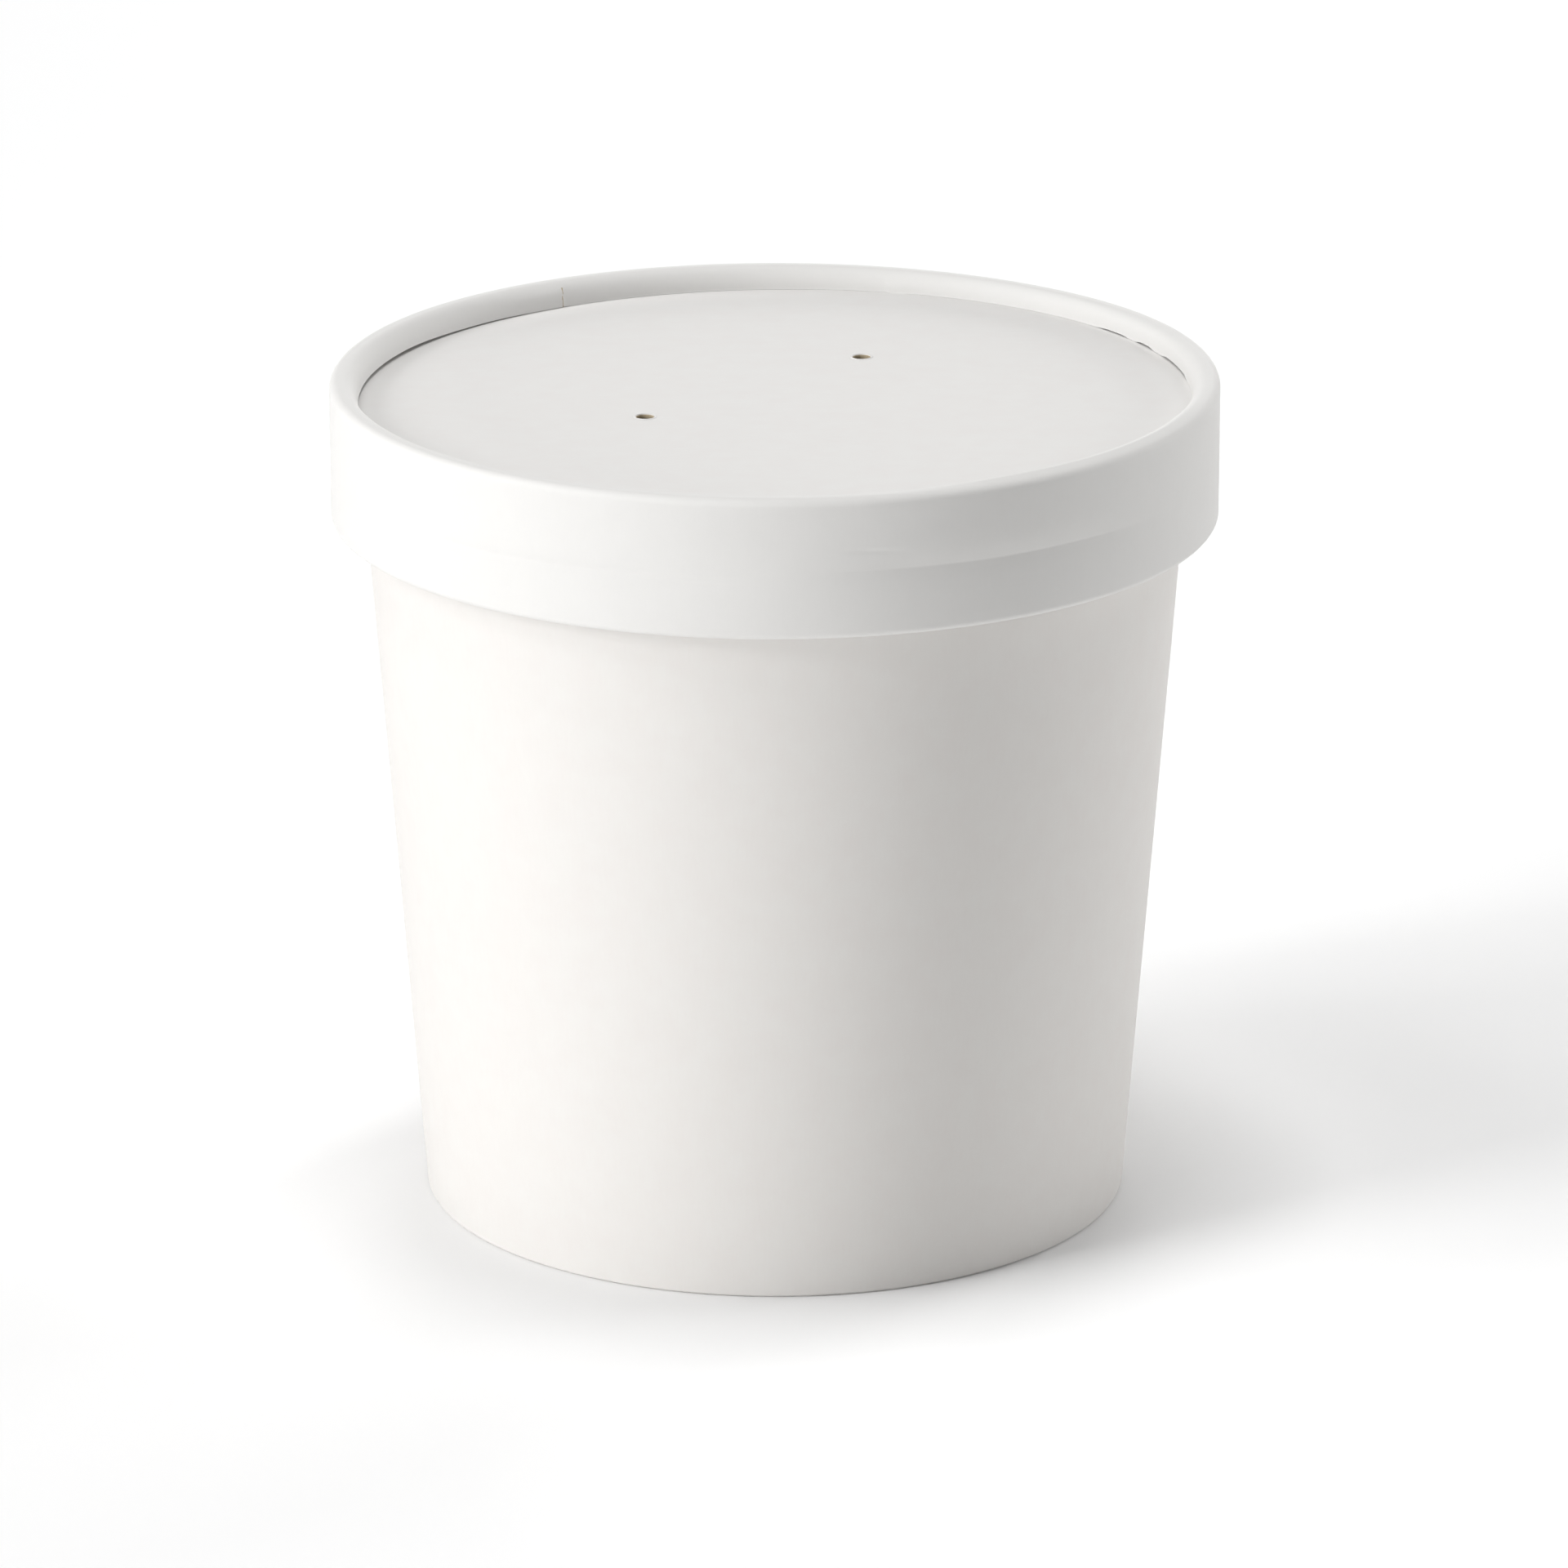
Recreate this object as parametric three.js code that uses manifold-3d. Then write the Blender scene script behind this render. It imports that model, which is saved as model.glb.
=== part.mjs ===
// Paper soup container, shut: a conical cup with a folded foot and a rolled rim, under a vented two-piece paper lid.
// Millimetres, +Z up. The origin is the centre of the base on the table, and -Y is the side that faces the viewer.
import * as THREE from "three";
import { mergeVertices } from "three/addons/utils/BufferGeometryUtils.js";
import Module from "manifold-3d";

// Lid
const LID_DIAMETER = 94;
const OVERALL_HEIGHT = 89.6;
const LID_DEPTH = 14.8;
const LID_RECESS = 2.55;
const DISC_THICKNESS = 0.6;
const SKIRT_THICKNESS = 1.0;
const HEM_ROUND = 0.8;
const HEM_HEIGHT = 4.5;

// Bead round the lid's top edge: a tight shoulder outside, a flat top and a wider curl down to the disc
const BEAD_WIDTH = 3.45;
const SHOULDER_ROUND = 1.05;
const CURL_ROUND = 1.55;
const CURL_END = 205;

// Vent holes through the lid's disc, as places on the disc
const VENT_DIAMETER = 1.8;
const VENT_PLACES = [
  { x: -13.6, y: -7.2 },
  { x: 9.3, y: 16.3 },
];
const VENT_POCKET_DIAMETER = 3.2;
const VENT_POCKET_DEPTH = 4;

// Cup
const BASE_DIAMETER = 75.4;
const WALL_LEAN_PER_MM = 0.0744;
const FOOT_THICKNESS = 1.3;
const FOOT_ROUND = 0.4;
const RECESS_DEPTH = 7.0;
const BASE_PANEL_THICKNESS = 0.5;
const RIM_ROLL_RADIUS = 1.4;

// Lap seam of the cup's wrapped board, on the side away from the viewer
const SEAM_AZIMUTH = 100;
const SEAM_WIDTH = 8;
const SEAM_RELIEF = 0.35;

// Air between neighbouring pieces, and the number of flats round every turned piece
const CLEARANCE = 0.3;
const FLATS = 96;
const VENT_FLATS = 16;

// Levels and radii that follow from the sizes above
const LID_RADIUS = LID_DIAMETER / 2;
const SHOULDER_CENTRE = { radius: LID_RADIUS - SHOULDER_ROUND, z: OVERALL_HEIGHT - SHOULDER_ROUND };
const CURL_CENTRE = { radius: LID_RADIUS - BEAD_WIDTH + CURL_ROUND, z: OVERALL_HEIGHT - CURL_ROUND };
const SKIRT_EDGE_Z = OVERALL_HEIGHT - LID_DEPTH;
const HEM_TOP_Z = SKIRT_EDGE_Z + HEM_HEIGHT;
const DISC_TOP_Z = OVERALL_HEIGHT - LID_RECESS;
const DISC_BOTTOM_Z = DISC_TOP_Z - DISC_THICKNESS;
const SKIRT_INNER_RADIUS = LID_RADIUS - SKIRT_THICKNESS;
const DISC_RADIUS = SKIRT_INNER_RADIUS - CLEARANCE;
const RIM_TOP_Z = DISC_BOTTOM_Z - CLEARANCE;
const RIM_CENTRE = {
  radius: SKIRT_INNER_RADIUS - CLEARANCE - RIM_ROLL_RADIUS,
  z: RIM_TOP_Z - RIM_ROLL_RADIUS,
};
const RIM_UNDERSIDE_Z = RIM_CENTRE.z - RIM_ROLL_RADIUS;
const CORE_UNDERSIDE_Z = RECESS_DEPTH + BASE_PANEL_THICKNESS + CLEARANCE;

const radians = THREE.MathUtils.degToRad;
const wasm = await Module();
wasm.setup();

// Outer radius of the cup's wall at a height.
function wallRadius(z) {
  return BASE_DIAMETER / 2 + WALL_LEAN_PER_MM * z;
}

// Inner radius of the folded foot at a height.
function footInnerRadius(z) {
  return wallRadius(z) - FOOT_THICKNESS;
}

// Points of a round stretch of a profile, counterclockwise from one angle to another in degrees.
function arc(centre, radius, fromDegrees, toDegrees, steps) {
  const from = radians(fromDegrees);
  const to = radians(toDegrees);
  return new THREE.EllipseCurve(centre.radius, centre.z, radius, radius, from, to).getPoints(steps);
}

function point(radius, z) {
  return new THREE.Vector2(radius, z);
}

// Turns a profile of radius and height round the Z axis.
function turned(profile) {
  return new THREE.LatheGeometry(profile, FLATS).rotateX(Math.PI / 2);
}

function circle(radius, flats, centre = { x: 0, y: 0 }) {
  const curve = new THREE.EllipseCurve(centre.x, centre.y, radius, radius, 0, 2 * Math.PI);
  return curve.getPoints(flats).slice(0, flats);
}

// Flat outline, extruded upwards from one level to another.
function plate(shape, bottomZ, topZ) {
  const geometry = new THREE.ExtrudeGeometry(shape, { depth: topZ - bottomZ, bevelEnabled: false });
  return geometry.translate(0, 0, bottomZ);
}

function toSolid(geometry) {
  const bare = geometry.clone();
  bare.deleteAttribute("normal");
  bare.deleteAttribute("uv");
  const merged = mergeVertices(bare, 1e-4);
  return new wasm.Manifold(
    new wasm.Mesh({
      numProp: 3,
      vertProperties: new Float32Array(merged.attributes.position.array),
      triVerts: new Uint32Array(merged.index.array),
    }),
  );
}

function toGeometry(solid) {
  const mesh = solid.getMesh();
  const geometry = new THREE.BufferGeometry();
  geometry.setAttribute("position", new THREE.BufferAttribute(mesh.vertProperties, 3));
  geometry.setIndex(new THREE.BufferAttribute(mesh.triVerts, 1));
  geometry.computeVertexNormals();
  return geometry;
}

// Cup body: folded foot, conical wall and rolled rim round a core that fills the shut cup.
function cupBody() {
  const footInner = footInnerRadius(0) + FOOT_ROUND;
  const footOuter = wallRadius(0) - FOOT_ROUND;
  return turned([
    point(0, CORE_UNDERSIDE_Z),
    point(footInnerRadius(CORE_UNDERSIDE_Z), CORE_UNDERSIDE_Z),
    ...arc({ radius: footInner, z: FOOT_ROUND }, FOOT_ROUND, 180, 270, 2),
    ...arc({ radius: footOuter, z: FOOT_ROUND }, FOOT_ROUND, 270, 360, 2),
    point(wallRadius(RIM_UNDERSIDE_Z), RIM_UNDERSIDE_Z),
    ...arc(RIM_CENTRE, RIM_ROLL_RADIUS, -90, 90, 8),
    point(0, RIM_TOP_Z),
  ]);
}

// Strip of board that stands proud of the wall where its ends lap.
function cupSeam() {
  const bottomZ = FOOT_ROUND;
  const inside = FOOT_THICKNESS / 2;
  const sleeve = turned([
    point(wallRadius(bottomZ) - inside, bottomZ),
    point(wallRadius(bottomZ) + SEAM_RELIEF, bottomZ),
    point(wallRadius(RIM_UNDERSIDE_Z) + SEAM_RELIEF, RIM_UNDERSIDE_Z),
    point(wallRadius(RIM_UNDERSIDE_Z) - inside, RIM_UNDERSIDE_Z),
    point(wallRadius(bottomZ) - inside, bottomZ),
  ]);
  const halfAngle = SEAM_WIDTH / 2 / wallRadius(RIM_UNDERSIDE_Z / 2);
  const middle = radians(SEAM_AZIMUTH);
  const corner = (angle) => new THREE.Vector2(LID_DIAMETER * Math.cos(angle), LID_DIAMETER * Math.sin(angle));
  const wedge = new THREE.Shape([new THREE.Vector2(0, 0), corner(middle - halfAngle), corner(middle + halfAngle)]);
  return toSolid(sleeve).intersect(toSolid(plate(wedge, 0, OVERALL_HEIGHT)));
}

// Clear space below a vent hole.
function ventPocket(place) {
  const outline = new THREE.Shape(circle(VENT_POCKET_DIAMETER / 2, VENT_FLATS, place));
  return toSolid(plate(outline, RIM_TOP_Z - VENT_POCKET_DEPTH, OVERALL_HEIGHT));
}

function cup() {
  let solid = toSolid(cupBody()).add(cupSeam());
  for (const place of VENT_PLACES) {
    solid = solid.subtract(ventPocket(place));
  }
  return toGeometry(solid);
}

// Round panel that closes the foot, seen only from below.
function cupBase() {
  const radius = footInnerRadius(RECESS_DEPTH) - CLEARANCE;
  return plate(new THREE.Shape(circle(radius, FLATS)), RECESS_DEPTH, RECESS_DEPTH + BASE_PANEL_THICKNESS);
}

// Lid's side band: an upright skirt with a folded hem, curled over at the top into a bead that holds the disc.
function lidRing() {
  const shoulder = arc(SHOULDER_CENTRE, SHOULDER_ROUND, 0, 90, 6);
  const curl = arc(CURL_CENTRE, CURL_ROUND, 90, CURL_END, 8);
  const curlUnderZ = curl.at(-1).y;
  const hemCentre = { radius: LID_RADIUS - HEM_ROUND, z: SKIRT_EDGE_Z + HEM_ROUND };
  const hemInnerRadius = LID_RADIUS - 2 * HEM_ROUND;
  const start = point(hemInnerRadius, hemCentre.z);
  return turned([
    start,
    ...arc(hemCentre, HEM_ROUND, 180, 360, 8).slice(1),
    ...shoulder,
    ...curl,
    point(SKIRT_INNER_RADIUS, curlUnderZ),
    point(SKIRT_INNER_RADIUS, HEM_TOP_Z + HEM_ROUND),
    point(hemInnerRadius, HEM_TOP_Z),
    start.clone(),
  ]);
}

// Lid's flat disc with its vent holes; the bead covers its edge.
function lidDisc() {
  const shape = new THREE.Shape(circle(DISC_RADIUS, FLATS));
  shape.holes = VENT_PLACES.map((place) => new THREE.Path(circle(VENT_DIAMETER / 2, VENT_FLATS, place)));
  return plate(shape, DISC_BOTTOM_Z, DISC_TOP_Z);
}

// Boards, as colour and roughness
const cupBoard = new THREE.MeshStandardMaterial({ color: 0xf3efe8, roughness: 0.72, metalness: 0 });
const baseBoard = new THREE.MeshStandardMaterial({ color: 0xeeeae2, roughness: 0.76, metalness: 0 });
const lidBandBoard = new THREE.MeshStandardMaterial({ color: 0xf1f1ef, roughness: 0.68, metalness: 0 });
const lidDiscBoard = new THREE.MeshStandardMaterial({ color: 0xe4e2df, roughness: 0.78, metalness: 0 });

function named(name, geometry, material) {
  const mesh = new THREE.Mesh(geometry, material);
  mesh.name = name;
  return mesh;
}

const cupGroup = new THREE.Group();
cupGroup.add(named("cup", cup(), cupBoard));
cupGroup.add(named("cup_base", cupBase(), baseBoard));

const lidGroup = new THREE.Group();
lidGroup.add(named("lid_ring", lidRing(), lidBandBoard));
lidGroup.add(named("lid_disc", lidDisc(), lidDiscBoard));

const container = new THREE.Group();
container.add(cupGroup, lidGroup);

export default container;
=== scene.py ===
"""Looks of a shut paper soup container: a conical cup under a vented two-piece paper lid.

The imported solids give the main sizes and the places. Each of them is replaced by a finely modelled board
piece with its folds, lap seams, creases and punched holes. The container stands on a plain white floor.

Azimuths are in degrees round the container: 0 faces the viewer (-Y), 90 is the viewer's right (+X).
Sizes in the classes are millimetres, and angles are degrees.
"""
import logging
import math
from dataclasses import dataclass, field
from enum import Enum
from functools import partial
from typing import Callable, NamedTuple

import bpy
from mathutils import Matrix, Vector


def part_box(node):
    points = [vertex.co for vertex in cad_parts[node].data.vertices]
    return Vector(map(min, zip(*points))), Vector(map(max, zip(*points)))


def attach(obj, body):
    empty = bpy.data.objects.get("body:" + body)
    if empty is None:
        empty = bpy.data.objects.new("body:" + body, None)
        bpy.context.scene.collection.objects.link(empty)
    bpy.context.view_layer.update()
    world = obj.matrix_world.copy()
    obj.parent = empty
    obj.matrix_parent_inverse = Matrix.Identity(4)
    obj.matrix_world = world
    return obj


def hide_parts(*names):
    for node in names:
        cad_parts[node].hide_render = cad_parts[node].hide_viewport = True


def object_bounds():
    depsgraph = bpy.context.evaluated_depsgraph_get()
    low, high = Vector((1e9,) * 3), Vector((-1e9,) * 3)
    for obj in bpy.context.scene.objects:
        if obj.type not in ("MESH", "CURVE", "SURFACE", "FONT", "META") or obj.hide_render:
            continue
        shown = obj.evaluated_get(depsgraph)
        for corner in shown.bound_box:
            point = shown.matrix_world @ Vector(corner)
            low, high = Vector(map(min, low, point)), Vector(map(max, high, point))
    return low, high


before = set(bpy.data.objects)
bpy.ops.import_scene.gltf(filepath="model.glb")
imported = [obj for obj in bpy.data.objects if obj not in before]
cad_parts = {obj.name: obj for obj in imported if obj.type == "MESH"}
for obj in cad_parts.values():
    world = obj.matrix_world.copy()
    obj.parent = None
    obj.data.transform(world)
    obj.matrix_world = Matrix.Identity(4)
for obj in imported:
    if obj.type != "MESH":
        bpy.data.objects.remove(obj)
CAD_LOW, CAD_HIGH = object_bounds()

MM = 0.001
BODY = "root"
LEAST_WEIGHT = 0.001
CUT_REACH = 3.0 * MM
SMOOTHED_ANGLE = 38.0
LOG = logging.getLogger("soup_container")


class Station(NamedTuple):
    """One point of a turned profile: its distance from the axis and its height, in millimetres."""

    radius: float
    height: float


class Grain(Enum):
    """Direction in which the fibres of a board piece run."""

    UPRIGHT = "upright"
    LEVEL = "level"


def top_of(node: str) -> float:
    """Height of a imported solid's top, in millimetres."""
    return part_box(node)[1].z / MM


def foot_of(node: str) -> float:
    """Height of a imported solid's underside, in millimetres."""
    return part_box(node)[0].z / MM


def reach_of(node: str) -> float:
    """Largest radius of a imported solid, in millimetres."""
    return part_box(node)[1].x / MM


def clamp(value: float) -> float:
    """Keeps a share between 0 and 1."""
    return min(1.0, max(0.0, value))


def smooth(value: float, start: float, end: float) -> float:
    """Eases from 0 at start to 1 at end.

    Args:
        value: Where to read the ramp.
        start: Value at which the ramp leaves 0.
        end: Value at which it reaches 1; it may be lower than start.

    Returns:
        The eased share, from 0 to 1.
    """
    share = clamp((value - start) / (end - start))
    return share * share * (3.0 - 2.0 * share)


def hill(value: float, middle: float, half_width: float) -> float:
    """Smooth bump of height 1 at the middle, fading with the given half width."""
    return math.exp(-(((value - middle) / half_width) ** 2))


def turn_between(azimuth: float, middle: float) -> float:
    """Signed angle in degrees from a middle azimuth to another, from -180 to 180."""
    return (azimuth - middle + 180.0) % 360.0 - 180.0


@dataclass(frozen=True)
class Span:
    """Stretch of azimuth that fades at both its ends; it may pass 180 and wrap round.

    Attributes:
        start: Where it begins, going with rising azimuth.
        end: Where it ends.
        fade_in: Width of the fade inside its start.
        fade_out: Width of the fade inside its end.
    """

    start: float
    end: float
    fade_in: float
    fade_out: float

    def share(self, azimuth: float) -> float:
        """Share at an azimuth: 1 on the stretch, eased to 0 at both ends."""
        length = (self.end - self.start) % 360.0
        along = (azimuth - self.start) % 360.0
        return smooth(along, 0.0, self.fade_in) * smooth(along, length, length - self.fade_out)


def arc(centre: Station, radius: float, start: float, end: float, steps: int) -> list[Station]:
    """Points of a round stretch of a profile.

    Args:
        centre: Centre of the arc.
        radius: Its radius.
        start: First angle, 0 pointing outwards and 90 upwards.
        end: Last angle.
        steps: Number of straight pieces.

    Returns:
        The points, both ends included.
    """
    angles = [math.radians(start + (end - start) * i / steps) for i in range(steps + 1)]
    return [
        Station(centre.radius + radius * math.cos(a), centre.height + radius * math.sin(a))
        for a in angles
    ]


def line(start: Station, end: Station, steps: int) -> list[Station]:
    """Points of a straight stretch of a profile, without its first point.

    Args:
        start: Where the stretch begins.
        end: Where it ends.
        steps: Number of equal pieces.

    Returns:
        The points after the first.
    """
    shares = [i / steps for i in range(1, steps + 1)]
    return [
        Station(
            start.radius + (end.radius - start.radius) * s,
            start.height + (end.height - start.height) * s,
        )
        for s in shares
    ]


class Turner:
    """Raises a turned shell ring by ring in edit mode."""

    # Distance in metres within which points are taken as one
    MERGE = 2e-6

    def __init__(self, name: str, profile: list[Station], sides: int) -> None:
        """Turns a profile round the axis.

        Args:
            name: Name of the piece.
            profile: Its points in order; none of them on the axis.
            sides: Number of points round each ring.
        """
        bpy.ops.object.select_all(action="DESELECT")
        first = profile[0]
        bpy.ops.mesh.primitive_circle_add(
            vertices=sides,
            radius=first.radius * MM,
            fill_type="NOTHING",
            location=(0.0, 0.0, first.height * MM),
        )
        self.piece = bpy.context.active_object
        self.piece.name = name
        self.piece.data.name = name
        bpy.ops.object.transform_apply(location=True, rotation=False, scale=False)
        bpy.ops.object.mode_set(mode="EDIT")
        bpy.ops.mesh.select_mode(type="VERT")
        bpy.ops.mesh.select_all(action="SELECT")
        self.profile = profile
        for before, after in zip(profile, profile[1:]):
            self._raise_ring(before, after)

    def _raise_ring(self, before: Station, after: Station) -> None:
        """Extrudes the selected ring to the next station."""
        lift = (0.0, 0.0, (after.height - before.height) * MM)
        bpy.ops.mesh.extrude_region_move(TRANSFORM_OT_translate={"value": lift})
        grow = after.radius / before.radius
        bpy.ops.transform.resize(value=(grow, grow, 1.0), center_override=(0.0, 0.0, 0.0))

    def _close_pole(self) -> None:
        """Draws the selected ring together on the axis."""
        bpy.ops.mesh.extrude_region_move()
        bpy.ops.mesh.merge(type="CENTER")

    def _select_first_ring(self) -> None:
        """Selects the ring that the profile started from."""
        first = self.profile[0]
        bpy.ops.mesh.select_all(action="DESELECT")
        bpy.ops.object.mode_set(mode="OBJECT")
        for vertex in self.piece.data.vertices:
            radius = math.hypot(vertex.co.x, vertex.co.y)
            near_radius = abs(radius - first.radius * MM) < self.MERGE
            vertex.select = near_radius and abs(vertex.co.z - first.height * MM) < self.MERGE
        bpy.ops.object.mode_set(mode="EDIT")

    def close_on_axis(self) -> bpy.types.Object:
        """Closes both ends of the shell on the axis and returns the piece."""
        self._close_pole()
        self._select_first_ring()
        self._close_pole()
        return self.weld()

    def weld(self) -> bpy.types.Object:
        """Welds what meets, such as the last ring and the first one, and returns the piece."""
        bpy.ops.mesh.select_all(action="SELECT")
        bpy.ops.mesh.remove_doubles(threshold=self.MERGE)
        bpy.ops.mesh.normals_make_consistent(inside=False)
        bpy.ops.object.mode_set(mode="OBJECT")
        return self.piece


def make_active(piece: bpy.types.Object) -> None:
    """Selects one object alone and makes it the active one."""
    bpy.ops.object.select_all(action="DESELECT")
    piece.select_set(True)
    bpy.context.view_layer.objects.active = piece


def apply_modifier(piece: bpy.types.Object, kind: str, settings: dict) -> None:
    """Adds a modifier, sets it and applies it.

    Args:
        piece: Object that gets the modifier.
        kind: Blender's name of the modifier type.
        settings: Its properties by name.
    """
    make_active(piece)
    bpy.ops.object.modifier_add(type=kind)
    modifier = piece.modifiers[-1]
    for name, value in settings.items():
        setattr(modifier, name, value)
    bpy.ops.object.modifier_apply(modifier=modifier.name)


def combine(piece: bpy.types.Object, other: bpy.types.Object, operation: str) -> None:
    """Joins another object to a piece by UNION or cuts it out by DIFFERENCE, and removes it."""
    apply_modifier(piece, "BOOLEAN", {"operation": operation, "object": other, "solver": "EXACT"})
    bpy.data.objects.remove(other)


Brush = Callable[[float, float, float], float]


def polar(place: Vector) -> tuple[float, float, float]:
    """Azimuth, radius in millimetres and height in millimetres of a point given in metres."""
    x, y, z = place / MM
    return math.degrees(math.atan2(x, -y)), math.hypot(x, y), z


def displace(piece: bpy.types.Object, brush: Brush, settings: dict) -> None:
    """Moves a piece's surface where a brush covers it, with a weighted Displace modifier.

    Args:
        piece: Object to shape.
        brush: Gives the weight at an azimuth, radius and height.
        settings: The modifier's other settings by name.
    """
    group = piece.vertex_groups.new(name="cover")
    for vertex in piece.data.vertices:
        weight = brush(*polar(vertex.co))
        if weight > LEAST_WEIGHT:
            group.add([vertex.index], min(1.0, weight), "REPLACE")
    apply_modifier(piece, "DISPLACE", {"vertex_group": group.name, **settings})
    piece.vertex_groups.clear()


def press(piece: bpy.types.Object, brush: Brush, depth: float, direction: str = "NORMAL") -> None:
    """Raises or presses in a piece's surface.

    Args:
        piece: Object to shape.
        brush: Gives the share of the depth at an azimuth, radius and height.
        depth: How far the surface moves outwards; a negative one presses it in.
        direction: NORMAL, or the axis along which it moves.
    """
    displace(piece, brush, {"direction": direction, "strength": depth * MM, "mid_level": 0.0})


def unevenness(piece: bpy.types.Object, size: float, depth: float, brush: Brush) -> None:
    """Gives a board surface the gentle waves that paper has.

    Args:
        piece: Object to shape.
        size: Width of a wave.
        depth: Height from trough to crest.
        brush: Where the waves show, as in press.
    """
    waves = bpy.data.textures.new(piece.name + "_waves", "CLOUDS")
    waves.noise_scale = size * MM
    waves.noise_depth = 2
    settings = {"texture": waves, "texture_coords": "LOCAL", "strength": depth * MM, "mid_level": 0.5}
    displace(piece, brush, settings)
    bpy.data.textures.remove(waves)


def add_cut_lines(piece: bpy.types.Object, places: list[Vector], across: Vector) -> None:
    """Adds edge lines up a turned piece where upright planes cut it, to give a seam there a crisp edge.

    Args:
        piece: Turned object.
        places: A point of each plane, in metres, on the side of the piece that gets the line.
        across: Direction square to the planes.
    """
    for place in places:
        make_active(piece)
        for polygon in piece.data.polygons:
            centre = polygon.center
            near = abs((centre - place).dot(across)) < CUT_REACH
            polygon.select = near and centre.x * place.x + centre.y * place.y > 0.0
        bpy.ops.object.mode_set(mode="EDIT")
        bpy.ops.mesh.select_mode(type="FACE")
        bpy.ops.mesh.bisect(plane_co=place, plane_no=across)
        bpy.ops.mesh.select_mode(type="VERT")
        bpy.ops.mesh.select_all(action="DESELECT")
        bpy.ops.object.mode_set(mode="OBJECT")


def linear(colour: str) -> tuple[float, float, float, float]:
    """Turns an sRGB hex colour into the linear one that shaders take.

    Args:
        colour: Six hex digits, red first.

    Returns:
        Linear red, green, blue and an alpha of 1.
    """
    channels = [int(colour[i:i + 2], 16) / 255.0 for i in (0, 2, 4)]
    lifted = [c / 12.92 if c <= 0.04045 else ((c + 0.055) / 1.055) ** 2.4 for c in channels]
    return (*lifted, 1.0)


def add_node(tree: bpy.types.NodeTree, kind: str, settings: dict, links: dict) -> bpy.types.Node:
    """Adds a node with its settings and links.

    Args:
        tree: Node tree that gets it.
        kind: Blender's name of the node type.
        settings: Properties by name, and socket values under the key inputs.
        links: Output sockets by the name or number of the input that each one feeds.

    Returns:
        The new node.
    """
    node = tree.nodes.new(kind)
    for name, value in settings.items():
        if name == "inputs":
            for socket, number in value.items():
                node.inputs[socket].default_value = number
        else:
            setattr(node, name, value)
    for socket, source in links.items():
        tree.links.new(source, node.inputs[socket])
    return node


@dataclass(frozen=True)
class Board:
    """Bleached paperboard: pulp pressed into a dense matte sheet, with cloudy fibre and a fine grain.

    Attributes:
        name: Name of the material.
        colour: Sheet colour as sRGB hex.
        cloud: Colour where the pulp lies thicker, as sRGB hex.
        cloud_size: Width of a pulp cloud.
        fibre_length: Length of the drawn fibres. Real ones are finer and wouldn't show.
        fibre_width: Their width.
        grain_depth: Depth of the grain.
        roughness: Middle roughness of the sheet.
        gloss: Specular level of its surface.
        grain: Direction of its fibres.
    """

    name: str
    colour: str
    cloud: str
    cloud_size: float = 3.0
    fibre_length: float = 2.4
    fibre_width: float = 0.3
    grain_depth: float = 0.006
    roughness: float = 0.66
    gloss: float = 0.35
    grain: Grain = Grain.UPRIGHT

    def material(self) -> bpy.types.Material:
        """Makes the board's material, on Object coordinates."""
        made = bpy.data.materials.new(self.name)
        made.use_nodes = True
        tree = made.node_tree
        tree.nodes.clear()
        place = add_node(tree, "ShaderNodeTexCoord", {}, {}).outputs["Object"]
        clouds = add_node(
            tree,
            "ShaderNodeTexNoise",
            {"inputs": {"Scale": 1.0 / (self.cloud_size * MM), "Detail": 3.0, "Roughness": 0.55}},
            {"Vector": place},
        ).outputs["Fac"]
        squeeze = self.fibre_width / self.fibre_length
        along = (1.0, 1.0, squeeze) if self.grain is Grain.UPRIGHT else (squeeze, 1.0, 1.0)
        lengthwise = add_node(
            tree, "ShaderNodeMapping", {"inputs": {"Scale": along}}, {"Vector": place}
        ).outputs["Vector"]
        fibres = add_node(
            tree,
            "ShaderNodeTexNoise",
            {"inputs": {"Scale": 1.0 / (self.fibre_width * MM), "Detail": 2.0, "Roughness": 0.6}},
            {"Vector": lengthwise},
        ).outputs["Fac"]
        pulp = add_node(
            tree, "ShaderNodeMapRange", {"inputs": {"From Min": 0.35, "From Max": 0.75}}, {"Value": clouds}
        ).outputs["Result"]
        strands = add_node(
            tree,
            "ShaderNodeMapRange",
            {"inputs": {"From Min": 0.4, "From Max": 0.8, "To Max": 0.5}},
            {"Value": fibres},
        ).outputs["Result"]
        share = add_node(
            tree, "ShaderNodeMath", {"operation": "ADD", "use_clamp": True}, {0: pulp, 1: strands}
        ).outputs["Value"]
        colour = add_node(
            tree,
            "ShaderNodeMix",
            {"data_type": "RGBA", "inputs": {6: linear(self.colour), 7: linear(self.cloud)}},
            {0: share},
        ).outputs[2]
        smoothest, roughest = self.roughness - 0.04, self.roughness + 0.05
        dullness = add_node(
            tree,
            "ShaderNodeMapRange",
            {"inputs": {"From Min": 0.3, "From Max": 0.7, "To Min": smoothest, "To Max": roughest}},
            {"Value": fibres},
        ).outputs["Result"]
        relief = add_node(
            tree,
            "ShaderNodeBump",
            {"inputs": {"Strength": 0.6, "Distance": self.grain_depth * MM}},
            {"Height": fibres},
        ).outputs["Normal"]
        shader = add_node(
            tree,
            "ShaderNodeBsdfPrincipled",
            {"inputs": {"IOR": 1.47, "Specular IOR Level": self.gloss}},
            {"Base Color": colour, "Roughness": dullness, "Normal": relief},
        ).outputs["BSDF"]
        add_node(tree, "ShaderNodeOutputMaterial", {}, {"Surface": shader})
        return made


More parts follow.
